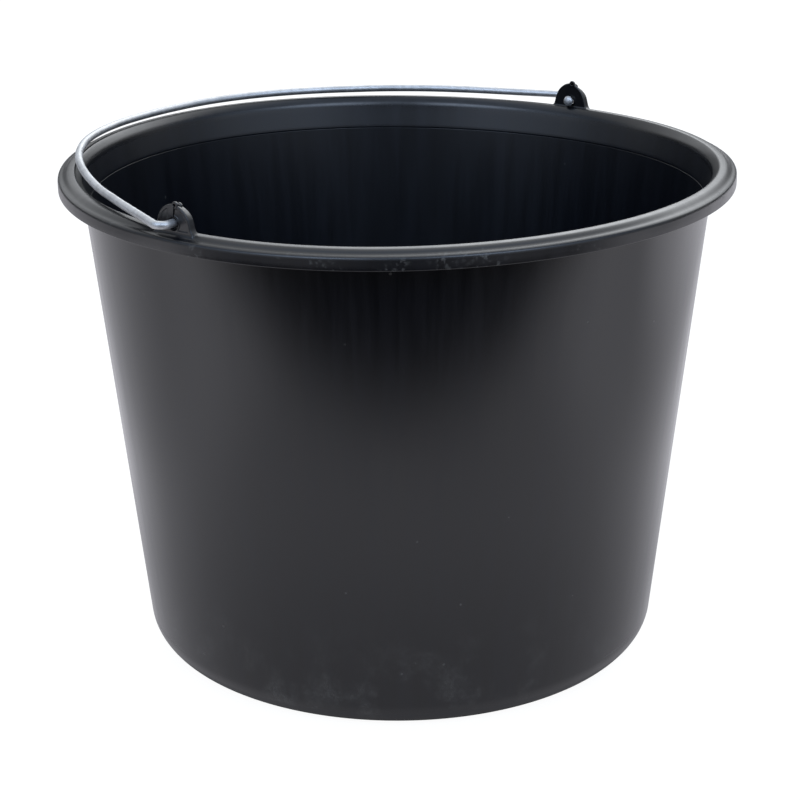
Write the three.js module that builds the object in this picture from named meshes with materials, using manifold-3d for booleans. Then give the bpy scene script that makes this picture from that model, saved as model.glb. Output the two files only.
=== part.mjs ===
// Round black plastic bucket with a folding steel wire bail.
// Millimetres, +Z up. Origin: centre of the base, on the ground plane.
// +X runs through one ear of the rim, the hinge line of the bail is parallel to X,
// and the bail is folded down towards +Y, where it lies along the rim.
import * as THREE from "three";
import { mergeVertices } from "three/addons/utils/BufferGeometryUtils.js";
import Module from "manifold-3d";

// ---- driving dimensions -------------------------------------------------
const RIM_R = 182.5; // outside radius of the rim
const CROWN_Z = 272.0; // top of the rim
const RIM_WIDTH = 13.6; // inner edge of the rim to its outside
const SKIRT_DROP = 9.9; // the rim's outer skirt ends this far below the crown
const WALL_TOP_R = 169.93; // outside of the wall level with the end of the skirt
const WALL_BASE_R = 142.57; // the same wall line carried down to the ground plane
const WALL_T = 2.5; // wall thickness
const BASE_FILLET = 18.2; // outside radius between wall and base
const FOOT_INNER_R = 118; // the foot ring is flat from here to the fillet
const FOOT_H = 1.5; // the middle of the base stands this far off the ground
const FLOOR_T = 3.0; // thickness of the floor
const LEDGE_DROP = 18.5; // fine line round the inside of the wall, below the crown
const SEGMENTS = 96; // facets round the bucket

const EAR_IN_R = 174.0; // inner face of an ear, as a distance from the axis
const EAR_OUT_R = 178.2; // outer face of an ear
const PIVOT_UP = 2.7; // hinge line above the crown
const HOLE_R = 2.45; // pivot hole of an ear
const RECESS_R = 3.3; // wider mouth of the hole at both faces of the ear
const RECESS_OUT = 2.2; // depth of the outer mouth
const RECESS_IN = 0.8; // depth of the inner mouth
const RECESS_DROP = 0.5; // the mouths sit this much lower than the hole
const EYE_R = 0.9; // small eyelet at the top of an ear
const EYE_UP = 10.3; // eyelet above the hinge line
const EYE_SIDE = -1.4; // eyelet beside the middle of the ear, along Y
const SLIT_W = 0.5; // groove in the outer face, from the pivot hole to the eyelet
const SLIT_D = 1.2; // depth of that groove
const POCKET_D = 0.3; // depth of the two sunk panels in an ear's outer face

const WIRE_R = 2.1; // bail wire
const BUTTON_R = 3.1; // upset head on each end of the wire, inside the ear
const BAIL_REST_DEG = 0.8; // the folded bail rises this much from its hinge to its middle

const PIVOT_Z = CROWN_Z + PIVOT_UP;

// ---- solids -------------------------------------------------------------
const wasm = await Module();
wasm.setup();

function toSolid(geometry) {
  const g = (geometry.index ? geometry.toNonIndexed() : geometry.clone());
  g.deleteAttribute("normal");
  g.deleteAttribute("uv");
  const m = mergeVertices(g, 1e-4);
  return new wasm.Manifold(
    new wasm.Mesh({
      numProp: 3,
      vertProperties: new Float32Array(m.attributes.position.array),
      triVerts: new Uint32Array(m.index.array),
    }),
  );
}

function toGeometry(solid) {
  const m = solid.getMesh();
  const n = m.numProp;
  const p = new Float32Array((m.vertProperties.length / n) * 3);
  for (let i = 0; i < p.length / 3; i++)
    p.set(m.vertProperties.subarray(i * n, i * n + 3), i * 3);
  const g = new THREE.BufferGeometry();
  g.setAttribute("position", new THREE.BufferAttribute(p, 3));
  g.setIndex(new THREE.BufferAttribute(new Uint32Array(m.triVerts), 1));
  g.computeVertexNormals();
  return g;
}

// ---- the shell: base, wall and rolled rim in one moulding -----------------
const draft = Math.atan2(WALL_TOP_R - WALL_BASE_R, CROWN_Z - SKIRT_DROP);
const outerR = (z) => WALL_BASE_R + Math.tan(draft) * z;
const innerR = (z) => outerR(z) - WALL_T / Math.cos(draft);

// Arc between the wall line and a level, for the corner of the base.
function corner(wallR, level, radius, steps) {
  const reach = radius / Math.tan((Math.PI / 2 + draft) / 2);
  const flat = new THREE.Vector2(wallR(level) - reach, level);
  const centre = new THREE.Vector2(flat.x, level + radius);
  const start = -Math.PI / 2;
  const end = -draft;
  const points = [];
  for (let i = 0; i <= steps; i++) {
    const a = start + ((end - start) * i) / steps;
    points.push(
      new THREE.Vector2(
        centre.x + radius * Math.cos(a),
        centre.y + radius * Math.sin(a),
      ),
    );
  }
  return points;
}

const outerCorner = corner(outerR, 0, BASE_FILLET, 8);
const floorTop = FOOT_H + FLOOR_T;
const innerCorner = corner(innerR, floorTop, BASE_FILLET - 3.2, 6);

const c = CROWN_Z;
const profile = [
  // underside, from the axis out to the foot ring
  [0, FOOT_H],
  [FOOT_INNER_R - 3, FOOT_H],
  [FOOT_INNER_R, 0],
  ...outerCorner.map((p) => [p.x, p.y]),
  // outside of the wall up under the rim
  [outerR(c - 60), c - 60],
  [outerR(c - SKIRT_DROP), c - SKIRT_DROP],
  [170.4, c - 7.0],
  [171.3, c - 5.2],
  [173.2, c - 4.1],
  [175.4, c - 3.9],
  [178.4, c - 3.9],
  [179.9, c - 5.4],
  [180.1, c - SKIRT_DROP],
  // outside of the skirt, over the rim to its inner edge
  [RIM_R, c - SKIRT_DROP],
  [RIM_R, c - 4.9],
  [182.3, c - 3.7],
  [181.8, c - 2.9],
  [180.9, c - 2.45],
  [179.6, c - 2.1],
  [178.4, c - 1.4],
  [177.1, c - 0.5],
  [176.0, c - 0.12],
  [174.8, c],
  [173.6, c - 0.25],
  [172.4, c - 0.86],
  [170.6, c - 2.15],
  [RIM_R - RIM_WIDTH, c - 3.5],
  // inside of the wall: the collar, the fine line below it, then down to the floor
  [168.3, c - 5.2],
  [innerR(c - LEDGE_DROP) - 0.15, c - LEDGE_DROP + 0.2],
  [innerR(c - LEDGE_DROP) + 0.45, c - LEDGE_DROP + 0.05],
  [innerR(c - LEDGE_DROP - 0.5), c - LEDGE_DROP - 0.5],
  ...innerCorner.map((p) => [p.x, p.y]).reverse(),
  [0, floorTop],
].map(([x, y]) => new THREE.Vector2(x, y));

const shellSolid = toSolid(
  new THREE.LatheGeometry(profile, SEGMENTS).rotateX(Math.PI / 2),
);

// ---- one ear, drawn in (Y, Z) about its pivot and extruded along X ---------
const earHalf = [
  [12.0, -6.2],
  [11.6, -4.2],
  [10.6, -2.2],
  [10.1, 0.4],
  [9.4, 3.0],
  [8.0, 5.8],
  [5.8, 8.2],
  [3.2, 9.9],
];

function earOutline() {
  const right = earHalf.map(([y, z]) => new THREE.Vector2(y, z));
  const left = earHalf.map(([y, z]) => new THREE.Vector2(-y, z)).reverse();
  return new THREE.Shape([...right, new THREE.Vector2(0, 10.7), ...left]);
}

// Circle as a shape, drawn with straight sides.
function disc(y, z, r, sides) {
  const points = [];
  for (let i = 0; i < sides; i++) {
    const a = (2 * Math.PI * (i + 0.5)) / sides;
    points.push(new THREE.Vector2(y + r * Math.cos(a), z + r * Math.sin(a)));
  }
  return new THREE.Shape(points);
}

// Narrow strip from the pivot hole up to the eyelet.
function slit() {
  const along = new THREE.Vector2(EYE_SIDE, EYE_UP).normalize();
  const across = new THREE.Vector2(along.y, -along.x).multiplyScalar(SLIT_W / 2);
  const low = along.clone().multiplyScalar(HOLE_R - 0.3);
  const high = new THREE.Vector2(EYE_SIDE, EYE_UP);
  return new THREE.Shape([
    low.clone().add(across),
    high.clone().add(across),
    high.clone().sub(across),
    low.clone().sub(across),
  ]);
}

// Sunk panel on each side of the middle rib, inside the ear's edge flange.
const PANEL_FRONT = [
  [3.4, 2.6],
  [4.3, 0.2],
  [4.3, -1.2],
  [8.9, -1.2],
  [8.5, 0.2],
  [7.7, 2.6],
  [6.6, 4.8],
  [5.0, 6.8],
  [3.4, 8.0],
];
const PANEL_BACK = [
  [-0.9, 4.2],
  [-0.9, 7.4],
  [-2.2, 7.8],
  [-3.4, 8.0],
  [-5.0, 6.8],
  [-6.6, 4.8],
  [-7.7, 2.6],
  [-8.5, 0.2],
  [-8.9, -1.2],
  [-4.3, -1.2],
  [-4.3, 0.2],
  [-3.5, 2.5],
  [-2.3, 3.7],
];

function panel(outline) {
  return new THREE.Shape(outline.map(([y, z]) => new THREE.Vector2(y, z)));
}

// Extrudes a (Y, Z) shape from x0 to x1.
function slab(shape, x0, x1) {
  const g = new THREE.ExtrudeGeometry(shape, {
    depth: x1 - x0,
    bevelEnabled: false,
    curveSegments: 12,
  });
  // shape x -> Y, shape y -> Z, depth -> X
  g.applyMatrix4(
    new THREE.Matrix4().set(0, 0, 1, x0, 1, 0, 0, 0, 0, 1, 0, PIVOT_Z, 0, 0, 0, 1),
  );
  return toSolid(g);
}

function ear() {
  let s = slab(earOutline(), EAR_IN_R, EAR_OUT_R).add(
    slab(disc(EYE_SIDE, EYE_UP, 1.9, 16), EAR_IN_R, EAR_OUT_R),
  );
  for (const outline of [PANEL_FRONT, PANEL_BACK])
    s = s.subtract(slab(panel(outline), EAR_OUT_R - POCKET_D, EAR_OUT_R + 1));
  return s;
}

// Everything that is open in an ear: hole with its two mouths, groove and eyelet.
function openings() {
  return slab(disc(0, 0, HOLE_R, 32), EAR_IN_R - 1, EAR_OUT_R + 1)
    .add(slab(disc(0, -RECESS_DROP, RECESS_R, 32), EAR_IN_R - 1, EAR_IN_R + RECESS_IN))
    .add(slab(disc(0, -RECESS_DROP, RECESS_R, 32), EAR_OUT_R - RECESS_OUT, EAR_OUT_R + 1))
    .add(slab(disc(EYE_SIDE, EYE_UP, EYE_R, 16), EAR_IN_R - 1, EAR_OUT_R + 1))
    .add(slab(slit(), EAR_OUT_R - SLIT_D, EAR_OUT_R + 1));
}

// An ear's foot stays inside the top of the rim.
const footCut = toSolid(
  new THREE.BoxGeometry(60, 60, 20).translate(RIM_R - 10, 0, CROWN_Z - 2.6 - 10),
);
const earTrimmed = ear().subtract(footCut).subtract(openings());
const shell = shellSolid.add(earTrimmed).add(earTrimmed.mirror([1, 0, 0]));

// ---- the bail: one bent wire with an upset head on each end -----------------
class KnotCurve extends THREE.CatmullRomCurve3 {
  getPointAt(u, target) {
    return this.getPoint(u, target);
  }
  getTangentAt(u, target) {
    return this.getTangent(u, target);
  }
}

// One end of the wire: straight through the ear, then bent round by 115 degrees.
function end(x, r) {
  const points = [
    [EAR_IN_R - 1.2, 0],
    [176.4, 0],
    [(176.4 + x) / 2, 0],
  ];
  for (let i = 0; i <= 7; i++) {
    const a = -Math.PI / 2 + (((90 + 25) * Math.PI) / 180) * (i / 7);
    points.push([x + r * Math.cos(a), r + r * Math.sin(a)]);
  }
  return points;
}

// The wire is bent by hand: one side has the tighter bend and is pulled in a little.
const farHalf = [
  ...end(182.8, 6.2),
  [186.3, 14.2],
  [183.2, 21.8],
  [178.2, 33.6],
  [172.4, 47.3],
  [166.4, 61.0],
  [159.8, 74.4],
  [152.0, 88.0],
  [142.8, 101.1],
  [132.6, 113.3],
  [121.7, 124.1],
  [110.5, 134.4],
  [98.8, 143.8],
  [86.6, 152.0],
  [73.8, 159.0],
  [60.1, 165.1],
  [45.4, 169.9],
  [30.6, 173.0],
  [15.3, 174.5],
];
const nearHalf = [
  ...end(181.4, 4.2),
  [181.9, 13.1],
  [177.9, 21.8],
  [172.8, 32.9],
  [167.7, 44.0],
  [162.2, 55.1],
  [154.0, 71.6],
  [144.0, 88.0],
  [134.0, 102.6],
  [121.8, 118.4],
  [110.4, 131.0],
  [99.9, 140.9],
  [85.6, 152.0],
  [73.0, 159.4],
  [60.0, 165.2],
  [45.4, 169.9],
  [30.6, 173.0],
  [15.3, 174.5],
];
const bailLine = [
  ...farHalf,
  [0, 175.0],
  ...nearHalf.map(([x, y]) => [-x, y]).reverse(),
].map(([x, y]) => new THREE.Vector3(x, y, 0));
const bailCurve = new KnotCurve(bailLine, false, "catmullrom", 0.5);

const section = new THREE.Shape();
section.absarc(0, 0, WIRE_R, 0, 2 * Math.PI);
const wire = toSolid(
  new THREE.ExtrudeGeometry(section, {
    steps: (bailLine.length - 1) * 2,
    curveSegments: 6,
    bevelEnabled: false,
    extrudePath: bailCurve,
  }),
);

// Rounded head, 0.4 mm clear of the inner face of the ear.
const headX = EAR_IN_R - 0.4;
const head = toSolid(
  new THREE.LatheGeometry(
    [
      [0, headX - 3.1],
      [1.0, headX - 3.0],
      [2.1, headX - 2.5],
      [2.9, headX - 1.6],
      [BUTTON_R, headX - 0.6],
      [2.6, headX],
      [0, headX],
    ].map(([r, x]) => new THREE.Vector2(r, x)),
    16,
  )
    // the lathe's axis becomes X
    .rotateZ(-Math.PI / 2),
);
const bail = wire.add(head).add(head.mirror([1, 0, 0]));

// ---- scene ---------------------------------------------------------------
const plastic = new THREE.MeshStandardMaterial({
  color: 0x161719,
  roughness: 0.45,
  metalness: 0,
});
const galvanised = new THREE.MeshStandardMaterial({
  color: 0xb9bcbd,
  roughness: 0.35,
  metalness: 1,
});

const root = new THREE.Group();
const shellMesh = new THREE.Mesh(toGeometry(shell), plastic);
shellMesh.name = "bucket_shell";
root.add(shellMesh);

const bailHinge = new THREE.Group();
bailHinge.position.set(0, 0, PIVOT_Z);
bailHinge.rotation.x = (BAIL_REST_DEG * Math.PI) / 180;
const bailMesh = new THREE.Mesh(toGeometry(bail), galvanised);
bailMesh.name = "wire_bail";
bailHinge.add(bailMesh);
root.add(bailHinge);

export default root;
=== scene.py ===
"""Looks of a round black plastic bucket with a folding galvanised wire bail."""

import math
from itertools import product

import bpy
import numpy as np
from mathutils import Matrix, Vector


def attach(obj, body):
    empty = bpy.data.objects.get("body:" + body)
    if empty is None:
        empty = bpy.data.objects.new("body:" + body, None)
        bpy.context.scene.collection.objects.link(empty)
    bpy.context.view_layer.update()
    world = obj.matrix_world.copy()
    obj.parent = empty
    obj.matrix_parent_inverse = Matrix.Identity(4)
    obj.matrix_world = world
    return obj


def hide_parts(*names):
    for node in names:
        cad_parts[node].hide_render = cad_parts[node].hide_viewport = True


MM = 0.001

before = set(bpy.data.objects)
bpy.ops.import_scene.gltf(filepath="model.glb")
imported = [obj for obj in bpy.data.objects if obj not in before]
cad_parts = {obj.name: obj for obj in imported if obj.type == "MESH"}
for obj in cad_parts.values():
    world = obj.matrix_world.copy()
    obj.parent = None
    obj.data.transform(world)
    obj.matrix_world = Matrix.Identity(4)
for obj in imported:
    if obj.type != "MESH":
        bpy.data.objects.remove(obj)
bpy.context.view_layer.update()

# ---- dimensions shared with the CAD model, in millimetres --------------------
RIM_R = 182.5
CROWN_Z = 272.0
SKIRT_DROP = 9.9
WALL_TOP_R = 169.93
WALL_BASE_R = 142.57
WALL_T = 2.5
BASE_FILLET = 18.2
FOOT_INNER_R = 118.0
FOOT_H = 1.5
FLOOR_T = 3.0
LEDGE_DROP = 18.5
EAR_IN_R = 174.0
EAR_OUT_R = 178.2
PIVOT_Z = 274.7
HOLE_R = 2.45
RECESS_R = 3.3
RECESS_OUT = 2.2
RECESS_IN = 0.8
RECESS_DROP = 0.5
EYE_R = 0.9
EYE = (-1.4, 10.3)
SLIT_W = 0.42
SLIT_D = 1.2
POCKET_D = 0.3
WIRE_R = 2.08
BAIL_REST_DEG = 0.8

DRAFT = math.atan2(WALL_TOP_R - WALL_BASE_R, CROWN_Z - SKIRT_DROP)

# The moulding has cooled very slightly out of flat: its rim rises and falls twice a turn,
# and stands a little higher on one side.
WARP = 1.45
WARP_AT = math.radians(99.5)
LIFT = 0.32
LIFT_AT = math.radians(37.0)

# Directions of the studio set in the part's frame: away from the viewer, and to the right.
AWAY = (0.79837, 0.60217, 0.0)
RIGHT = (0.60217, -0.79837, 0.0)


def outer_r(z):
    return WALL_BASE_R + math.tan(DRAFT) * z


def inner_r(z):
    return outer_r(z) - WALL_T / math.cos(DRAFT)


def warp(x, y, z):
    """Height added to a point of the shell by the rim's slight warp."""
    phi = np.arctan2(y, x)
    fade = np.clip(z / CROWN_Z, 0, 1)
    return fade * (
        WARP * np.cos(2 * (phi - WARP_AT)) + LIFT * (1 + np.cos(phi - LIFT_AT))
    )


# ---- polylines -----------------------------------------------------------------
def rounded(points, n=5):
    """(r, z, fillet radius) corners as a polyline with arcs at the corners."""
    out = []
    for i, (x, y, rad) in enumerate(points):
        p = np.array((x, y))
        if rad <= 0 or i in (0, len(points) - 1):
            out.append(p)
            continue
        a = np.array(points[i - 1][:2]) - p
        b = np.array(points[i + 1][:2]) - p
        la, lb = np.linalg.norm(a), np.linalg.norm(b)
        a, b = a / la, b / lb
        ang = math.acos(max(-1, min(1, float(a @ b))))
        if ang > math.pi - 0.02:
            out.append(p)
            continue
        reach = min(rad / math.tan(ang / 2), 0.48 * la, 0.48 * lb)
        real = reach * math.tan(ang / 2)
        bis = (a + b) / np.linalg.norm(a + b)
        centre = p + bis * real / math.sin(ang / 2)
        s, e = p + a * reach - centre, p + b * reach - centre
        t0, t1 = math.atan2(s[1], s[0]), math.atan2(e[1], e[0])
        d = (t1 - t0 + math.pi) % (2 * math.pi) - math.pi
        for k in range(n + 1):
            t = t0 + d * k / n
            out.append(centre + real * np.array((math.cos(t), math.sin(t))))
    return out


def spline(points, n):
    """Catmull-Rom line through the points, n steps a span."""
    p = np.array(points, float)
    p = np.vstack([2 * p[0] - p[1], p, 2 * p[-1] - p[-2]])
    out = []
    for i in range(1, len(p) - 2):
        a, b, c, d = p[i - 1], p[i], p[i + 1], p[i + 2]
        for k in range(n):
            t = k / n
            out.append(
                0.5
                * (
                    2 * b
                    + (c - a) * t
                    + (2 * a - 5 * b + 4 * c - d) * t * t
                    + (3 * b - a - 3 * c + d) * t**3
                )
            )
    out.append(p[-2])
    return out


def corner(wall, level, radius, steps):
    """Arc between the wall line and a level, from the level outwards."""
    reach = radius / math.tan((math.pi / 2 + DRAFT) / 2)
    cx, cy = wall(level) - reach, level + radius
    out = []
    for i in range(steps + 1):
        a = -math.pi / 2 + (math.pi / 2 - DRAFT) * i / steps
        out.append(np.array((cx + radius * math.cos(a), cy + radius * math.sin(a))))
    return out


def steps(a, b, n):
    """Points strictly between a and b."""
    a, b = np.array(a, float), np.array(b, float)
    return [a + (b - a) * k / n for k in range(1, n)]


# ---- profile of the shell --------------------------------------------------------
c = CROWN_Z
floor_top = FOOT_H + FLOOR_T
outer_corner = corner(outer_r, 0.0, BASE_FILLET, 20)
inner_corner = corner(inner_r, floor_top, BASE_FILLET - 3.2, 16)

under = rounded(
    [
        (0, FOOT_H + 0.5, 0),
        (3.0, FOOT_H + 0.5, 0.3),
        (3.4, FOOT_H + 0.1, 0.3),
        (7.6, FOOT_H + 0.1, 0.4),
        (8.4, FOOT_H, 0.4),
        (60, FOOT_H, 0),
        (FOOT_INNER_R - 3, FOOT_H, 1.2),
        (FOOT_INNER_R, 0.0, 1.2),
        (FOOT_INNER_R + 4, 0.0, 0),
    ]
)
wall_low = outer_corner[-1]
wall_high = np.array((outer_r(c - 11.5), c - 11.5))
wall = [*steps(wall_low, wall_high, 48), wall_high]
flange = rounded(
    [
        (outer_r(c - SKIRT_DROP), c - SKIRT_DROP, 0),
        (170.4, c - 7.0, 4.0),
        (171.3, c - 5.2, 2.0),
        (173.2, c - 4.1, 2.0),
        (175.4, c - 3.9, 1.5),
        (178.5, c - 3.9, 1.3),
        (180.1, c - 5.6, 0.8),
        (180.25, c - SKIRT_DROP, 0.45),
        (RIM_R - 0.05, c - SKIRT_DROP, 0.55),
        (RIM_R, c - 7.0, 0),
    ],
    6,
)
bead = spline(
    [
        (RIM_R, c - 7.0),
        (RIM_R - 0.01, c - 6.1),
        (RIM_R - 0.02, c - 5.3),
        (182.46, c - 4.60),
        (182.33, c - 3.95),
        (182.02, c - 3.38),
        (181.55, c - 3.00),
        (180.95, c - 2.76),
        (180.3, c - 2.58),
        (179.7, c - 2.36),
        (179.15, c - 2.02),
        (178.65, c - 1.62),
        (178.15, c - 1.22),
        (177.6, c - 0.84),
        (177.0, c - 0.57),
        (176.2, c - 0.40),
        (175.3, c - 0.31),
        (174.4, c - 0.26),
        (173.6, c - 0.28),
        (172.95, c - 0.47),
        (172.4, c - 0.87),
        (171.85, c - 1.36),
        (171.3, c - 1.92),
        (170.8, c - 2.48),
        (170.35, c - 3.02),
        (169.95, c - 3.58),
        (169.6, c - 4.25),
        (169.25, c - 5.2),
        (168.95, c - 6.4),
    ],
    5,
)
groove = inner_r(c - LEDGE_DROP)
collar = [
    np.array(p)
    for p in (
        (groove - 0.13, c - LEDGE_DROP + 0.70),
        (groove - 0.15, c - LEDGE_DROP + 0.36),
        (groove - 0.15, c - LEDGE_DROP + 0.24),
        (groove - 0.06, c - LEDGE_DROP + 0.16),
        (groove + 0.62, c - LEDGE_DROP + 0.10),
        (groove + 0.62, c - LEDGE_DROP - 0.10),
        (groove + 0.10, c - LEDGE_DROP - 0.26),
        (inner_r(c - LEDGE_DROP - 0.38), c - LEDGE_DROP - 0.38),
        (inner_r(c - LEDGE_DROP - 0.50), c - LEDGE_DROP - 0.50),
        (inner_r(c - LEDGE_DROP - 0.80), c - LEDGE_DROP - 0.80),
        (inner_r(c - LEDGE_DROP - 4), c - LEDGE_DROP - 4),
    )
]
inside = [*steps(bead[-1], collar[0], 8), *collar]
inside.insert(0, bead[-1])
inner_low = inner_corner[-1]
inner_wall = [
    *steps(inside[-1], inner_low, 40),
    *reversed(inner_corner),
]
floor_in = [
    np.array(p)
    for p in (
        (110, floor_top),
        (80, floor_top),
        (50, floor_top),
        (25, floor_top),
        (9, floor_top),
        (6.5, floor_top - 0.25),
        (3.0, floor_top - 0.3),
        (0, floor_top - 0.3),
    )
]
profile = [
    *under,
    *outer_corner,
    *wall,
    *flange,
    *bead[1:],
    *inside[1:],
    *inner_wall,
    *floor_in,
]
clean = [np.array(profile[0], float)]
for p in profile[1:]:
    if np.linalg.norm(np.array(p) - clean[-1]) > 0.02:
        clean.append(np.array(p, float))
profile = np.array(clean)


def new_object(name, verts, faces, body):
    mesh = bpy.data.meshes.new(name)
    mesh.from_pydata([tuple(v) for v in verts], [], [tuple(f) for f in faces])
    mesh.validate()
    mesh.update()
    obj = bpy.data.objects.new(name, mesh)
    bpy.context.scene.collection.objects.link(obj)
    mesh.polygons.foreach_set("use_smooth", [True] * len(mesh.polygons))
    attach(obj, body)
    return obj


# ---- the shell: base, wall, rolled rim -------------------------------------------
N = 480


def shell_mesh():
    ring = profile[1:-1]
    m = len(ring)
    phi = np.arange(N) * 2 * math.pi / N
    r = ring[:, 0][None, :] + 0 * phi[:, None]
    z = ring[:, 1][None, :] + 0 * phi[:, None]
    # slow unevenness of the wall, a tenth of a millimetre, none at the foot or rim
    wall_band = np.clip((z - 25) / 40, 0, 1) * np.clip((c - 14 - z) / 30, 0, 1)
    uneven = (
        0.050 * np.sin(3 * phi[:, None] + 0.9 + z / 95)
        + 0.035 * np.sin(7 * phi[:, None] + 2.1 - z / 60)
        + 0.020 * np.sin(13 * phi[:, None] + 0.4 + z / 47)
        + 0.012 * np.sin(29 * phi[:, None] + 1.7)
    )
    r = r + wall_band * (uneven - 0.03)
    x = r * np.cos(phi)[:, None]
    y = r * np.sin(phi)[:, None]
    z = z + warp(x, y, z)
    verts = np.stack([x, y, z], -1).reshape(-1, 3)
    verts = np.vstack([verts, [0, 0, profile[0][1]], [0, 0, profile[-1][1]]])
    low, high = N * m, N * m + 1
    i = np.arange(N)[:, None]
    k = np.arange(m - 1)[None, :]
    j = (i + 1) % N
    quads = np.stack(
        [i * m + k, j * m + k, j * m + k + 1, i * m + k + 1], -1
    ).reshape(-1, 4)
    faces = [tuple(q) for q in quads.tolist()]
    for a in range(N):
        b = (a + 1) % N
        faces.append((b * m, a * m, low))
        faces.append((a * m + m - 1, b * m + m - 1, high))
    return verts * MM, faces


verts, faces = shell_mesh()
shell = new_object("shell_moulding", verts, faces, "bucket")
# how deep a point lies in the fine line under the collar: little light gets in there, and the material paints that
# shade by dropping the specular level
ring = profile[1:-1]
deep = np.clip((ring[:, 0] - groove - 0.03) / 0.3, 0, 1) * (np.abs(ring[:, 1] - (c - LEDGE_DROP)) < 0.3)
deep[ring[:, 0] > groove + 1.0] = 0.0
spread = np.append(np.tile(deep, N), [0.0, 0.0])
shell.data.attributes.new("line_depth", "FLOAT", "POINT").data.foreach_set("value", spread)
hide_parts("bucket_shell")


# ---- the ears, as a field of signed distance, so that edges and feet are rounded ----
def polygon_distance(px, py, poly):
    """Signed distance to a closed polygon, negative inside."""
    shape = px.shape
    px, py = px.ravel(), py.ravel()
    best = np.full(px.shape, 1e18)
    inside = np.zeros(px.shape, bool)
    n = len(poly)
    for i in range(n):
        ax, ay = poly[i]
        bx, by = poly[(i + 1) % n]
        ex, ey = bx - ax, by - ay
        t = np.clip(((px - ax) * ex + (py - ay) * ey) / (ex * ex + ey * ey), 0, 1)
        best = np.minimum(best, (px - ax - t * ex) ** 2 + (py - ay - t * ey) ** 2)
        cross = (ay > py) != (by > py)
        if ay != by:
            inside ^= cross & (px < (bx - ax) * (py - ay) / (by - ay) + ax)
    d = np.sqrt(best)
    return np.where(inside, -d, d).reshape(shape)


def smin(a, b, k):
    h = np.clip(0.5 + 0.5 * (b - a) / k, 0, 1)
    return b + (a - b) * h - k * h * (1 - h)


def smax(a, b, k):
    return -smin(-a, -b, k)


def surface_nets(f, origin, h):
    """Closed quad mesh of the zero level of f, which is negative inside."""
    inside = f < 0
    nx, ny, nz = f.shape
    part = lambda g, o: g[
        o[0] : nx - 1 + o[0], o[1] : ny - 1 + o[1], o[2] : nz - 1 + o[2]
    ]
    corners = list(product((0, 1), repeat=3))
    some = np.zeros((nx - 1, ny - 1, nz - 1), bool)
    every = np.ones_like(some)
    for o in corners:
        some |= part(inside, o)
        every &= part(inside, o)
    active = some & ~every
    cells = np.argwhere(active)
    index = np.full(active.shape, -1)
    index[active] = np.arange(len(cells))
    total = np.zeros((len(cells), 3))
    count = np.zeros(len(cells))
    for o in corners:
        for axis in range(3):
            if o[axis]:
                continue
            q = list(o)
            q[axis] = 1
            a, b = part(f, o)[active], part(f, q)[active]
            hit = (a < 0) != (b < 0)
            t = np.where(hit, a / np.where(hit, a - b, 1), 0)
            p = np.array(o, float)[None, :] + 0 * total
            p[:, axis] += t
            total += np.where(hit[:, None], p, 0)
            count += hit
    points = origin + h * (cells + total / count[:, None])
    quads = []
    for axis in range(3):
        u, v = (axis + 1) % 3, (axis + 2) % 3
        size = [nx, ny, nz]
        size[axis] -= 1
        lo = [slice(None)] * 3
        hi = [slice(None)] * 3
        lo[axis], hi[axis] = slice(0, -1), slice(1, None)
        a, b = inside[tuple(lo)], inside[tuple(hi)]
        for starts, flip in ((a & ~b, False), (~a & b, True)):
            e = np.argwhere(starts)
            e = e[(e[:, u] > 0) & (e[:, v] > 0)]
            e = e[
                (e[:, u] < f.shape[u] - 1) & (e[:, v] < f.shape[v] - 1)
            ]
            du, dv = np.zeros(3, int), np.zeros(3, int)
            du[u], dv[v] = 1, 1
            ring = [e - du - dv, e - dv, e, e - du]
            q = np.stack([index[tuple(r.T)] for r in ring], -1)
            quads.append(q[:, ::-1] if flip else q)
    return points, np.vstack(quads)


EAR_HALF = [
    (12.6, -6.2),
    (12.0, -4.2),
    (11.0, -2.2),
    (10.3, 0.4),
    (9.45, 3.0),
    (8.05, 5.8),
    (5.9, 8.15),
    (3.2, 9.85),
]


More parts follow.
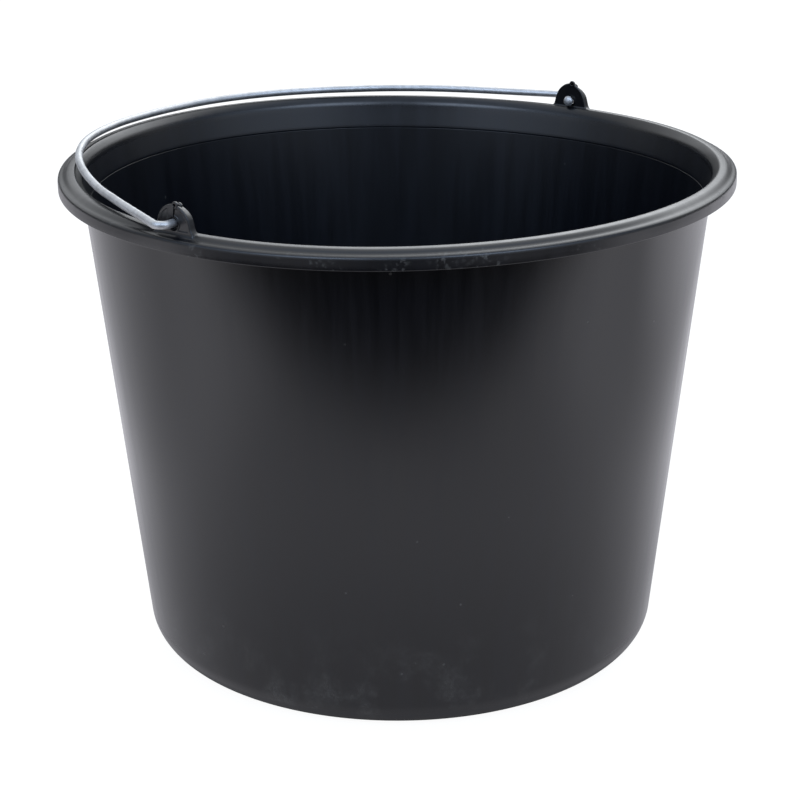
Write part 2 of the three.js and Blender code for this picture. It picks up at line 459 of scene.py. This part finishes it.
def ear_field(side, h=0.15):
    xs = np.arange(169.6, 181.6, h)
    ys = np.arange(-15.6, 15.6, h)
    zs = np.arange(-8.4, 13.2, h)
    Y, Z = np.meshgrid(ys, zs, indexing="ij")
    right = [(y, z) for y, z in EAR_HALF]
    left = [(-y, z) for y, z in reversed(EAR_HALF)]
    outline = spline([*right, (0, 10.6), *left], 4)
    outline = np.array([*outline, (-12.6, -8.0), (12.6, -8.0)])
    body2 = polygon_distance(Y, Z, outline)

    eye = np.hypot(Y - EYE[0], Z - EYE[1])
    hole = np.hypot(Y, Z)
    recess = np.hypot(Y, Z + RECESS_DROP) - RECESS_R
    # groove from the hole up to the eyelet
    tx, tz = EYE
    t = np.clip((Y * tx + Z * tz) / (tx * tx + tz * tz), 0, 1)
    slit = np.hypot(Y - t * tx, Z - t * tz) - SLIT_W / 2

    # sunk panels on both sides of the middle rib, inside the edge flange
    panel = smax(body2 + 1.75, 4.25 - hole, 0.8)
    panel = smax(panel, 2.55 - eye, 0.5)
    rib = np.maximum(Y - 3.3, -0.85 - Y)  # negative on the rib
    panel = smax(panel, -rib, 0.5)
    panel = smax(panel, -3.4 - Z, 0.5)

    X = xs[:, None, None]
    B, H, E, S, P, R = (g[None] for g in (body2, hole, eye, slit, panel, recess))
    Yg, Zg = Y[None], Z[None]
    mid, half = (EAR_IN_R + EAR_OUT_R) / 2, (EAR_OUT_R - EAR_IN_R) / 2
    slab = np.abs(X - mid) - half
    ear = smax(B + 0 * X, slab + 0 * B, 0.7)
    # eyelet: a boss with a waist between its two ends
    waist = 0.55 * np.clip(1 - ((X - mid + 0.2) / 0.9) ** 2, 0, 1)
    boss = smax(E - 1.9 + waist, slab - 0.05 + 0 * E, 0.35)
    ear = smin(ear, boss, 0.3)
    # panels
    sunk = smax(P + 0 * X, (EAR_OUT_R - POCKET_D) - X + 0 * P, 0.25)
    ear = smax(ear, -sunk, 0.3)
    # foot: blends into the top of the rim
    r = np.hypot(X, Yg)
    up = PIVOT_Z + Zg - warp(side * X + 0 * Yg, Yg + 0 * X, CROWN_Z + 0 * X * Yg)
    rim_profile = np.array([p for p in bead[::3]] + [(171.5, c - 12.0), (181.0, c - 12.0)])
    low = (Zg < 1.5) & (np.ones_like(X) > 0)
    rim = np.full(np.broadcast_shapes(X.shape, Yg.shape), 9.0)
    sel = np.broadcast_to(low, rim.shape)
    R3 = np.broadcast_to(r, rim.shape)[sel]
    U3 = np.broadcast_to(up, rim.shape)[sel]
    rim[sel] = polygon_distance(R3, U3, rim_profile)
    solid = smin(ear, rim + 0.10, 1.1)
    # the ear and its fillet only: what lies in the rim stays under the rim's surface
    near = np.maximum(np.abs(Yg) - 14.6, -7.6 - Zg) + 0 * X
    solid = np.maximum(solid, near)
    solid = np.maximum(solid, np.maximum(170.4 - X, X - 181.2) + 0 * Yg)
    # openings: hole with a wider mouth at both faces, eyelet, and the groove outside
    solid = smax(solid, HOLE_R - H + 0 * X, 0.12)
    outer = smax(R + 0 * X, (EAR_OUT_R - RECESS_OUT) - X + 0 * R, 0.3)
    inner = smax(R + 0 * X, X - (EAR_IN_R + RECESS_IN) + 0 * R, 0.3)
    solid = smax(solid, -np.minimum(outer, inner), 0.2)
    solid = smax(solid, (EYE_R - 0.1) - E + 0 * X, 0.1)
    cut = np.maximum(S + 0 * X, (EAR_OUT_R - SLIT_D) - X + 0 * S)
    solid = smax(solid, -cut, 0.15)
    origin = np.array([xs[0], ys[0], PIVOT_Z + zs[0]])
    return solid, origin, h


def relax(points, quads, rounds):
    """Evens the net out a little."""
    edges = np.vstack([quads[:, [0, 1]], quads[:, [1, 2]], quads[:, [2, 3]], quads[:, [3, 0]]])
    edges = np.unique(np.sort(edges, 1), axis=0)
    deg = np.bincount(edges.ravel(), minlength=len(points)).astype(float)
    for _ in range(rounds):
        for w in (0.5, -0.53):
            acc = np.zeros_like(points)
            np.add.at(acc, edges[:, 0], points[edges[:, 1]])
            np.add.at(acc, edges[:, 1], points[edges[:, 0]])
            points = points + w * (acc / deg[:, None] - points)
    return points


def ear_net(side):
    """Mesh of the ear on one side, still drawn as if it stood at +X."""
    field, origin, h = ear_field(side)
    points, quads = surface_nets(field, origin, h)
    used = np.unique(quads)
    remap = np.full(len(points), -1)
    remap[used] = np.arange(len(used))
    quads = remap[quads]
    return relax(points[used], quads, 3), quads


def settle(points, out_drop, in_drop):
    """Lowers the top of an ear, by different amounts at its outer and inner face."""
    p = points.copy()
    up = np.clip((p[:, 2] - PIVOT_Z - 2.6) / 8.6, 0, 1.05)
    side = np.clip((p[:, 0] - EAR_IN_R - 0.6) / (EAR_OUT_R - EAR_IN_R - 1.2), 0, 1)
    side = side * side * (3 - 2 * side)
    p[:, 2] -= up * (in_drop + (out_drop - in_drop) * side)
    return p


# the two ears left the mould a little different
far_points, far_quads = ear_net(1)
near_points, near_quads = ear_net(-1)
far_points = settle(far_points, 2.3, 0.15)
near_points = settle(near_points, 1.5, 2.5) * np.array([-1, 1, 1])
ear_a = new_object("ear_right", far_points * MM, far_quads.tolist(), "bucket")
ear_b = new_object(
    "ear_left", near_points * MM, near_quads[:, ::-1].tolist(), "bucket"
)
for ear in (ear_a, ear_b):
    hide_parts("bucket_shell")

# ---- the bail ------------------------------------------------------------------------
def wire_end(x, r):
    """One end of the wire: straight through the ear, then bent round by 115 degrees."""
    points = [(172.8, 0.0), (176.4, 0.0), ((176.4 + x) / 2, 0.0)]
    for i in range(8):
        a = math.radians(-90 + 115 * i / 7)
        points.append((x + r * math.cos(a), r + r * math.sin(a)))
    return points


FAR_HALF = wire_end(182.8, 6.2) + [
    (186.3, 14.2),
    (183.2, 21.8),
    (178.2, 33.6),
    (172.4, 47.3),
    (166.4, 61.0),
    (159.8, 74.4),
    (152.0, 88.0),
    (142.8, 101.1),
    (132.6, 113.3),
    (121.7, 124.1),
    (110.5, 134.4),
    (98.8, 143.8),
    (86.6, 152.0),
    (73.8, 159.0),
    (60.1, 165.1),
    (45.4, 169.9),
    (30.6, 173.0),
    (15.3, 174.5),
]
NEAR_HALF = wire_end(181.4, 4.2) + [
    (181.9, 13.1),
    (177.9, 21.8),
    (172.8, 32.9),
    (167.7, 44.0),
    (162.2, 55.1),
    (154.0, 71.6),
    (144.0, 88.0),
    (134.0, 102.6),
    (121.8, 118.4),
    (110.4, 131.0),
    (99.9, 140.9),
    (85.6, 152.0),
    (73.0, 159.4),
    (60.0, 165.2),
    (45.4, 169.9),
    (30.6, 173.0),
    (15.3, 174.5),
]


def bail_mesh(sides=32):
    knots = [*FAR_HALF, (0.0, 175.0), *[(-x, y) for x, y in reversed(NEAR_HALF)]]
    line = np.array(spline(knots, 10))
    # the two straight ends carry the upset heads, so they get stations of their own
    head = [
        (170.50, 0.35),
        (170.56, 1.00),
        (170.72, 1.62),
        (171.00, 2.15),
        (171.42, 2.60),
        (171.95, 2.92),
        (172.50, 3.08),
        (172.95, 3.08),
        (173.28, 2.94),
        (173.48, 2.66),
        (173.56, 2.34),
        (173.62, 2.14),
        (173.80, WIRE_R),
        (174.40, WIRE_R),
    ]
    middle = [p for p in line if not (abs(p[0]) < 175.0 and p[1] < 0.5)]
    path = [(x, 0.0) for x, _ in head] + [tuple(p) for p in middle]
    path += [(-x, 0.0) for x, _ in reversed(head)]
    rad = [r for _, r in head] + [WIRE_R] * len(middle) + [r for _, r in reversed(head)]
    path, rad = np.array(path), np.array(rad)
    tangent = np.gradient(path, axis=0)
    tangent[: len(head)] = (1, 0)
    tangent[-len(head) :] = (1, 0)
    tangent /= np.linalg.norm(tangent, axis=1)[:, None]
    normal = np.stack([-tangent[:, 1], tangent[:, 0]], -1)
    th = np.arange(sides) * 2 * math.pi / sides
    # drawn wire, bent cold; its section stays round all along
    n_off = rad[:, None] * np.cos(th)[None, :]
    b_off = rad[:, None] * np.sin(th)[None, :]
    pts = np.zeros((len(path), sides, 3))
    pts[:, :, 0] = path[:, 0, None] + normal[:, 0, None] * n_off
    pts[:, :, 1] = path[:, 1, None] + normal[:, 1, None] * n_off
    pts[:, :, 2] = b_off
    count = len(path)
    verts = pts.reshape(-1, 3)
    verts = np.vstack([verts, [170.48, 0, 0], [-170.48, 0, 0]])
    tilt = math.radians(BAIL_REST_DEG)
    y, z = verts[:, 1].copy(), verts[:, 2].copy()
    verts[:, 1] = y * math.cos(tilt) - z * math.sin(tilt)
    verts[:, 2] = y * math.sin(tilt) + z * math.cos(tilt) + PIVOT_Z
    faces = []
    for i in range(count - 1):
        for k in range(sides):
            n = (k + 1) % sides
            faces.append(
                (i * sides + k, i * sides + n, (i + 1) * sides + n, (i + 1) * sides + k)
            )
    a, b = count * sides, count * sides + 1
    for k in range(sides):
        n = (k + 1) % sides
        faces.append((n, k, a))
        faces.append(((count - 1) * sides + k, (count - 1) * sides + n, b))
    return verts * MM, faces


verts, faces = bail_mesh()
bail = new_object("bail_wire", verts, faces, "bail")
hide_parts("wire_bail")


# Every closed mesh faces outwards.
def face_out(obj):
    me = obj.data
    co = np.zeros(len(me.vertices) * 3)
    me.vertices.foreach_get("co", co)
    co = co.reshape(-1, 3)
    me.calc_loop_triangles()
    tri = np.zeros(len(me.loop_triangles) * 3, int)
    me.loop_triangles.foreach_get("vertices", tri)
    tri = co[tri.reshape(-1, 3)]
    volume = np.einsum("ij,ij->i", tri[:, 0], np.cross(tri[:, 1], tri[:, 2])).sum() / 6
    if volume < 0:
        me.flip_normals()
    print(obj.name, "verts", len(me.vertices), "volume mm3", round(volume * 1e9, 1))


for obj in (shell, ear_a, ear_b, bail):
    face_out(obj)


# ---- materials -------------------------------------------------------------------------
class Nodes:
    """Short way to wire shader nodes."""

    def __init__(self, tree):
        self.tree = tree
        tree.nodes.clear()

    def add(self, kind, **props):
        n = self.tree.nodes.new(kind)
        for k, v in props.items():
            if k.startswith("in_"):
                key = k[3:]
                key = int(key) if key.isdigit() else key.replace("_", " ")
                n.inputs[key].default_value = v
            else:
                setattr(n, k, v)
        return n

    def link(self, a, b):
        self.tree.links.new(a, b)

    def math(self, op, a, b=0.0, c=0.0, clamp=False):
        n = self.tree.nodes.new("ShaderNodeMath")
        n.operation, n.use_clamp = op, clamp
        for i, v in enumerate((a, b, c)):
            if hasattr(v, "is_linked") or isinstance(v, bpy.types.NodeSocket):
                self.link(v, n.inputs[i])
            else:
                n.inputs[i].default_value = v
        return n.outputs[0]

    def ramp(self, value, a, b, lo=0.0, hi=1.0, smooth=True):
        n = self.tree.nodes.new("ShaderNodeMapRange")
        n.interpolation_type = "SMOOTHSTEP" if smooth else "LINEAR"
        self.link(value, n.inputs[0])
        for i, v in enumerate((a, b, lo, hi)):
            n.inputs[i + 1].default_value = v
        return n.outputs[0]

    def combine(self, x, y, z):
        n = self.tree.nodes.new("ShaderNodeCombineXYZ")
        for i, v in enumerate((x, y, z)):
            if isinstance(v, bpy.types.NodeSocket):
                self.link(v, n.inputs[i])
            else:
                n.inputs[i].default_value = v
        return n.outputs[0]

    def noise(self, vector, scale, detail=3.0, rough=0.5):
        n = self.tree.nodes.new("ShaderNodeTexNoise")
        n.inputs["Scale"].default_value = scale
        n.inputs["Detail"].default_value = detail
        n.inputs["Roughness"].default_value = rough
        self.link(vector, n.inputs["Vector"])
        return n.outputs["Fac"]


def new_material(name):
    m = bpy.data.materials.new(name)
    m.use_nodes = True
    return m, Nodes(m.node_tree)


def plastic_material():
    m, n = new_material("black_plastic")
    out = n.add("ShaderNodeOutputMaterial")
    bsdf = n.add("ShaderNodeBsdfPrincipled")
    n.link(bsdf.outputs[0], out.inputs[0])
    tc = n.add("ShaderNodeTexCoord")
    sep = n.add("ShaderNodeSeparateXYZ")
    n.link(tc.outputs["Object"], sep.inputs[0])
    x, y, z = sep.outputs
    radius = n.math("SQRT", n.math("ADD", n.math("MULTIPLY", x, x), n.math("MULTIPLY", y, y)))
    ux = n.math("DIVIDE", x, n.math("MAXIMUM", radius, 0.001))
    uy = n.math("DIVIDE", y, n.math("MAXIMUM", radius, 0.001))

    # flow streaks, drawn out along the height
    streak_v = n.combine(ux, uy, n.math("MULTIPLY", z, 0.55))
    streak = n.noise(streak_v, 26.0, 4.0, 0.62)
    broad = n.noise(n.combine(ux, uy, n.math("MULTIPLY", z, 1.2)), 5.0, 2.0, 0.5)
    fine = n.noise(tc.outputs["Object"], 420.0, 3.0, 0.6)
    grain = n.noise(tc.outputs["Object"], 1900.0, 2.0, 0.5)
    blotch = n.noise(tc.outputs["Object"], 34.0, 5.0, 0.62)

    # dusty rubbed patches near the foot
    low = n.ramp(z, 0.004, 0.075, 1.0, 0.0)
    rub = n.ramp(blotch, 0.48, 0.74)
    speck = n.ramp(fine, 0.50, 0.66)
    dust = n.math("MULTIPLY", n.math("MULTIPLY", low, rub), n.ramp(fine, 0.35, 0.7, 0.35, 1.0))

    # rubbed spots on the outside edge of the rim
    rim_band = n.math(
        "MULTIPLY", n.ramp(z, 0.2600, 0.2630), n.ramp(radius, 0.1785, 0.1808)
    )
    chafe = n.math("MULTIPLY", n.math("MULTIPLY", rim_band, n.ramp(blotch, 0.52, 0.66)), speck)

    # scattered pale specks all over
    voro = n.add("ShaderNodeTexVoronoi", feature="F1")
    voro.inputs["Scale"].default_value = 95.0
    n.link(tc.outputs["Object"], voro.inputs["Vector"])
    spots = n.math(
        "MULTIPLY",
        n.ramp(voro.outputs["Distance"], 0.05, 0.085, 1.0, 0.0),
        n.ramp(blotch, 0.55, 0.62),
    )

    mark = n.math("ADD", n.math("ADD", n.math("MULTIPLY", dust, 0.52), n.math("MULTIPLY", chafe, 0.85)), n.math("MULTIPLY", spots, 0.45), clamp=True)

    # a faint worn line where the wall meets the rounded base
    worn = n.ramp(n.math("ABSOLUTE", n.math("SUBTRACT", z, 0.0172)), 0.00012, 0.00042, 1.0, 0.0)
    worn = n.math("MULTIPLY", worn, n.ramp(n.noise(tc.outputs["Object"], 11.0, 3.0, 0.6), 0.46, 0.60))
    mark = n.math("ADD", mark, n.math("MULTIPLY", worn, 0.75), clamp=True)

    tone = n.ramp(streak, 0.3, 0.7, 0.75, 1.3)
    # inside the bucket the surface is a little duller, and its colour is a little lighter and bluer: a painted tint
    # standing in for the cool light inside
    slope = n.math("SUBTRACT", radius, n.math("ADD", n.math("MULTIPLY", z, math.tan(DRAFT)), (WALL_BASE_R - 1.25) * MM))
    inner = n.math("MULTIPLY", n.ramp(slope, -0.0005, 0.0005, 1.0, 0.0), n.ramp(z, 0.2655, 0.2685, 1.0, 0.0))
    inner = n.math("MULTIPLY", inner, n.ramp(z, 0.0035, 0.0042))
    base = n.add("ShaderNodeMix", data_type="RGBA", blend_type="MULTIPLY")
    base.inputs["Factor"].default_value = 1.0
    # painted tint: the inside copy of the plastic is lighter and bluer than the outside, in place of the light's cool
    # cast
    tint = n.add("ShaderNodeMix", data_type="RGBA")
    n.link(inner, tint.inputs["Factor"])
    tint.inputs["A"].default_value = (0.0006, 0.0010, 0.0022, 1)
    tint.inputs["B"].default_value = (0.0006, 0.0014, 0.0034, 1)
    n.link(tint.outputs["Result"], base.inputs["A"])
    grey = n.add("ShaderNodeCombineColor")
    for i in range(3):
        n.link(tone, grey.inputs[i])
    n.link(grey.outputs[0], base.inputs["B"])
    col = n.add("ShaderNodeMix", data_type="RGBA")
    n.link(mark, col.inputs["Factor"])
    n.link(base.outputs["Result"], col.inputs["A"])
    col.inputs["B"].default_value = (0.060, 0.060, 0.056, 1)
    n.link(col.outputs["Result"], bsdf.inputs["Base Color"])

    rough = n.math(
        "ADD",
        n.ramp(streak, 0.3, 0.7, 0.185, 0.225),
        n.math("MULTIPLY", n.ramp(broad, 0.35, 0.65, -1.0, 1.0), 0.012),
    )
    rough = n.math("ADD", rough, n.math("MULTIPLY", inner, 0.13))
    rim = n.math("MULTIPLY", n.ramp(z, 0.2600, 0.2640), n.ramp(radius, 0.1690, 0.1700))
    rough = n.math("ADD", rough, n.math("MULTIPLY", rim, 0.10))
    rough = n.math("ADD", rough, n.math("MULTIPLY", mark, 0.22), clamp=True)
    n.link(rough, bsdf.inputs["Roughness"])
    bsdf.inputs["IOR"].default_value = 1.5
    # painted shade: deep in the fine line under the collar the specular level falls almost to nothing
    line = n.add("ShaderNodeAttribute", attribute_name="line_depth")
    n.link(n.ramp(line.outputs["Fac"], 0.0, 0.8, 0.5, 0.03), bsdf.inputs["Specular IOR Level"])

    height = n.math("ADD", n.math("MULTIPLY", fine, 0.22), n.math("MULTIPLY", grain, 0.08))
    height = n.math("SUBTRACT", height, n.math("MULTIPLY", mark, 0.15))
    bump = n.add("ShaderNodeBump")
    bump.inputs["Strength"].default_value = 0.25
    bump.inputs["Distance"].default_value = 0.00012
    n.link(height, bump.inputs["Height"])
    n.link(bump.outputs[0], bsdf.inputs["Normal"])
    return m


def steel_material():
    m, n = new_material("galvanised_wire")
    out = n.add("ShaderNodeOutputMaterial")
    bsdf = n.add("ShaderNodeBsdfPrincipled")
    n.link(bsdf.outputs[0], out.inputs[0])
    tc = n.add("ShaderNodeTexCoord")
    spangle = n.noise(tc.outputs["Object"], 260.0, 3.0, 0.55)
    fine = n.noise(tc.outputs["Object"], 1500.0, 2.0, 0.5)
    patch = n.noise(tc.outputs["Object"], 40.0, 3.0, 0.6)
    v = n.math("ADD", n.math("MULTIPLY", spangle, 0.5), n.math("MULTIPLY", patch, 0.5))
    col = n.add("ShaderNodeMix", data_type="RGBA")
    n.link(n.ramp(v, 0.35, 0.65), col.inputs["Factor"])
    col.inputs["A"].default_value = (0.36, 0.365, 0.37, 1)
    col.inputs["B"].default_value = (0.50, 0.505, 0.51, 1)
    n.link(col.outputs["Result"], bsdf.inputs["Base Color"])
    bsdf.inputs["Metallic"].default_value = 0.85
    n.link(n.ramp(v, 0.3, 0.7, 0.42, 0.52), bsdf.inputs["Roughness"])
    bump = n.add("ShaderNodeBump")
    bump.inputs["Strength"].default_value = 0.3
    bump.inputs["Distance"].default_value = 0.00006
    n.link(n.math("ADD", spangle, n.math("MULTIPLY", fine, 0.4)), bump.inputs["Height"])
    n.link(bump.outputs[0], bsdf.inputs["Normal"])
    return m


plastic = plastic_material()
steel = steel_material()
for obj in (shell, ear_a, ear_b):
    obj.data.materials.append(plastic)
bail.data.materials.append(steel)
for name, mat in (("bucket_shell", plastic), ("wire_bail", steel)):
    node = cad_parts[name]
    node.data.materials.clear()
    node.data.materials.append(mat)

# ---- the set: pale floor, white surroundings, darker towards the viewer -------------------
FLOOR_HALF = 6.0
mesh = bpy.data.meshes.new("floor")
mesh.from_pydata(
    [(-FLOOR_HALF, -FLOOR_HALF, -0.0003), (FLOOR_HALF, -FLOOR_HALF, -0.0003), (FLOOR_HALF, FLOOR_HALF, -0.0003), (-FLOOR_HALF, FLOOR_HALF, -0.0003)],
    [],
    [(0, 1, 2, 3)],
)
floor = bpy.data.objects.new("floor", mesh)
bpy.context.scene.collection.objects.link(floor)


def floor_material():
    m, n = new_material("floor")
    out = n.add("ShaderNodeOutputMaterial")
    geo = n.add("ShaderNodeNewGeometry")
    path = n.add("ShaderNodeLightPath")
    dot = n.add("ShaderNodeVectorMath", operation="DOT_PRODUCT")
    n.link(geo.outputs["Position"], dot.inputs[0])
    dot.inputs[1].default_value = AWAY
    along = dot.outputs["Value"]
    # the lit table ends in front of the bucket, outside the picture
    cross = n.add("ShaderNodeVectorMath", operation="DOT_PRODUCT")
    n.link(geo.outputs["Position"], cross.inputs[0])
    cross.inputs[1].default_value = RIGHT
    aside = n.math("SUBTRACT", cross.outputs["Value"], 0.02)
    edge = n.math("SUBTRACT", along, n.math("MULTIPLY", n.math("MULTIPLY", aside, aside), 0.28))
    lit = n.ramp(edge, -0.560, -0.380, 0.002, 0.93)
    wing = n.math("MULTIPLY", n.ramp(n.math("ABSOLUTE", aside), 0.28, 0.48), n.ramp(along, -0.26, 0.02, 0.36, -0.14))
    right_side = n.math("MULTIPLY", n.ramp(aside, 0.45, 0.75, 0.0, 0.50), n.ramp(along, -0.05, 0.15))
    lit = n.math("MULTIPLY", lit, n.math("ADD", 1.0, n.math("ADD", wing, right_side)))
    # the lit table reaches further forward at its two far ends
    ends = n.math("MULTIPLY", n.ramp(n.math("ABSOLUTE", aside), 0.78, 1.02, 0.0, 1.5), n.ramp(along, -0.70, -0.50))
    lit = n.math("ADD", lit, n.math("MULTIPLY", ends, n.ramp(along, -0.30, 0.10, 1.0, 0.0)))
    # the room's own floor, well beyond the table
    room = n.math("ADD", 0.10, n.ramp(n.math("ABSOLUTE", aside), 0.15, 0.60, 0.0, 0.45))
    lit = n.math("ADD", lit, n.math("MULTIPLY", room, n.ramp(along, -0.86, -0.68, 1.0, 0.0)))
    # painted shadow round the foot: the floor's glow is dimmed near the bucket, in place of the shade the bucket casts
    ring = n.add("ShaderNodeVectorMath", operation="LENGTH")
    n.link(geo.outputs["Position"], ring.inputs[0])
    lit = n.math("MULTIPLY", lit, n.ramp(ring.outputs["Value"], 0.15, 0.36, 0.70, 1.0))
    lit = n.math("MULTIPLY", lit, n.ramp(ring.outputs["Value"], 0.128, 0.152, 0.05, 1.0))
    glow = n.add("ShaderNodeEmission")
    glow.inputs["Color"].default_value = (0.985, 0.98, 1.05, 1)
    n.link(lit, glow.inputs["Strength"])
    seen_d = n.add("ShaderNodeBsdfDiffuse")
    seen_d.inputs["Color"].default_value = (0.10, 0.10, 0.10, 1)
    seen_e = n.add("ShaderNodeEmission")
    seen_e.inputs["Color"].default_value = (1, 1, 1, 1)
    seen_e.inputs["Strength"].default_value = 0.95
    seen = n.add("ShaderNodeAddShader")
    n.link(seen_d.outputs[0], seen.inputs[0])
    n.link(seen_e.outputs[0], seen.inputs[1])
    mix = n.add("ShaderNodeMixShader")
    n.link(path.outputs["Is Camera Ray"], mix.inputs[0])
    n.link(glow.outputs[0], mix.inputs[1])
    n.link(seen.outputs[0], mix.inputs[2])
    n.link(mix.outputs[0], out.inputs[0])
    return m


floor.data.materials.append(floor_material())


def make_world():
    world = bpy.data.worlds.new("studio")
    bpy.context.scene.world = world
    world.use_nodes = True
    n = Nodes(world.node_tree)
    out = n.add("ShaderNodeOutputWorld")
    tc = n.add("ShaderNodeTexCoord")
    path = n.add("ShaderNodeLightPath")

    def dot(v):
        d = n.add("ShaderNodeVectorMath", operation="DOT_PRODUCT")
        n.link(tc.outputs["Generated"], d.inputs[0])
        d.inputs[1].default_value = v
        return d.outputs["Value"]

    away, up = dot(AWAY), dot((0, 0, 1))
    # pale walls all round, a bright window high up behind, and two softboxes at the front
    flat = n.math("SQRT", n.math("MAXIMUM", n.math("SUBTRACT", 1.0, n.math("MULTIPLY", up, up)), 0.0001))
    rear = n.math("DIVIDE", away, flat)
    wide = n.math("DIVIDE", dot(RIGHT), flat)
    behind = n.math("MULTIPLY", n.ramp(rear, 0.1, 0.75), n.ramp(wide, -0.24, 0.12, 0.10, 1.0, smooth=False))
    fall = n.math("MULTIPLY", n.ramp(wide, 0.16, 0.36, 0.0, 0.85), n.ramp(up, 0.35, 0.55, 1.0, 0.0))
    behind = n.math("MULTIPLY", behind, n.math("SUBTRACT", 1.0, fall))
    behind = n.math("MULTIPLY", behind, n.ramp(up, 0.17, 0.40))
    behind = n.math("MULTIPLY", behind, n.ramp(up, 0.50, 0.92, 3.8, 0.6))
    # front, low: two dim panels beside the viewer
    low = n.math("MULTIPLY", n.ramp(rear, -0.98, -0.82, 0.45, 1.0), n.ramp(rear, -0.42, -0.10, 1.0, 0.0))
    low = n.math("MULTIPLY", low, n.ramp(up, -0.02, 0.12))
    low = n.math("MULTIPLY", low, n.ramp(up, 0.45, 0.75, 0.55, 0.0))
    # high at the front: two lamps, left and right
    spread = n.math("ABSOLUTE", dot(RIGHT))
    lamps = n.math("MULTIPLY", n.ramp(spread, 0.06, 0.28), n.ramp(spread, 0.55, 0.85, 1.0, 0.0))
    lamps = n.math("MULTIPLY", lamps, n.ramp(up, 0.36, 0.58))
    lamps = n.math("MULTIPLY", lamps, n.ramp(away, -0.62, -0.36, 4.0, 0.0))
    horizon = n.math("MULTIPLY", n.ramp(rear, 0.0, 0.5, 0.0, 0.50), n.ramp(up, 0.3, 0.6, 1.0, 0.3))
    horizon = n.math("MULTIPLY", horizon, n.ramp(up, 0.12, 0.30))
    dark = n.math("MULTIPLY", n.ramp(rear, 0.2, 0.6), n.ramp(up, 0.13, 0.28, 0.38, 0.0))
    shade = n.math("SUBTRACT", n.math("ADD", 0.50, behind), dark)
    shade = n.math("ADD", shade, n.math("ADD", low, horizon))
    # the unlit side of the room, a fixed direction that doesn't follow the camera
    unlit = n.math("MULTIPLY", n.ramp(rear, -0.985, -0.84, 0.38, 0.0), n.ramp(up, 0.40, 0.65, 1.0, 0.0))
    shade = n.math("SUBTRACT", shade, unlit)
    top = n.math("MULTIPLY", n.ramp(up, 0.70, 0.95, 0.0, 0.9), n.ramp(away, -0.25, -0.02))
    shade = n.math("ADD", shade, n.math("ADD", lamps, top))
    for_camera = n.math("MULTIPLY", path.outputs["Is Camera Ray"], 1.0)
    strength = n.math(
        "ADD",
        n.math("MULTIPLY", shade, n.math("SUBTRACT", 1.0, for_camera)),
        n.math("MULTIPLY", for_camera, 1.02),
    )
    bg = n.add("ShaderNodeBackground")
    # the light from high at the front is cooler than the rest
    cool = n.math("MULTIPLY", n.ramp(rear, -0.1, 0.4, 1.0, 0.0), n.ramp(up, 0.0, 0.35))
    tint = n.add("ShaderNodeCombineXYZ")
    n.link(n.math("SUBTRACT", 0.955, n.math("MULTIPLY", cool, 0.15)), tint.inputs["X"])
    n.link(n.math("SUBTRACT", 0.985, n.math("MULTIPLY", cool, 0.01)), tint.inputs["Y"])
    n.link(n.math("ADD", 1.02, n.math("MULTIPLY", cool, 0.24)), tint.inputs["Z"])
    n.link(tint.outputs["Vector"], bg.inputs["Color"])
    n.link(strength, bg.inputs["Strength"])
    n.link(bg.outputs[0], out.inputs[0])


make_world()

# ---- camera ---------------------------------------------------------------------------------
cam_data = bpy.data.cameras.new("camera")
cam_data.sensor_width = 36.0
cam_data.lens = 92.547
cam_data.clip_start = 0.01
cam_data.clip_end = 50.0
camera = bpy.data.objects.new("camera", cam_data)
bpy.context.scene.collection.objects.link(camera)
right = Vector((0.599491, -0.8003469, -0.0074475))
up = Vector((0.2753203, 0.1974706, 0.9408528))
fwd = Vector((0.751538, 0.5660833, -0.3387336))
camera.matrix_world = Matrix(
    (
        (right.x, up.x, -fwd.x, -0.874062),
        (right.y, up.y, -fwd.y, -0.659041),
        (right.z, up.z, -fwd.z, 0.526902),
        (0, 0, 0, 1),
    )
)
bpy.context.scene.camera = camera

scene = bpy.context.scene
scene.view_settings.view_transform = "Standard"
scene.view_settings.look = "None"
scene.view_settings.exposure = 0.0
scene.view_settings.gamma = 1.0
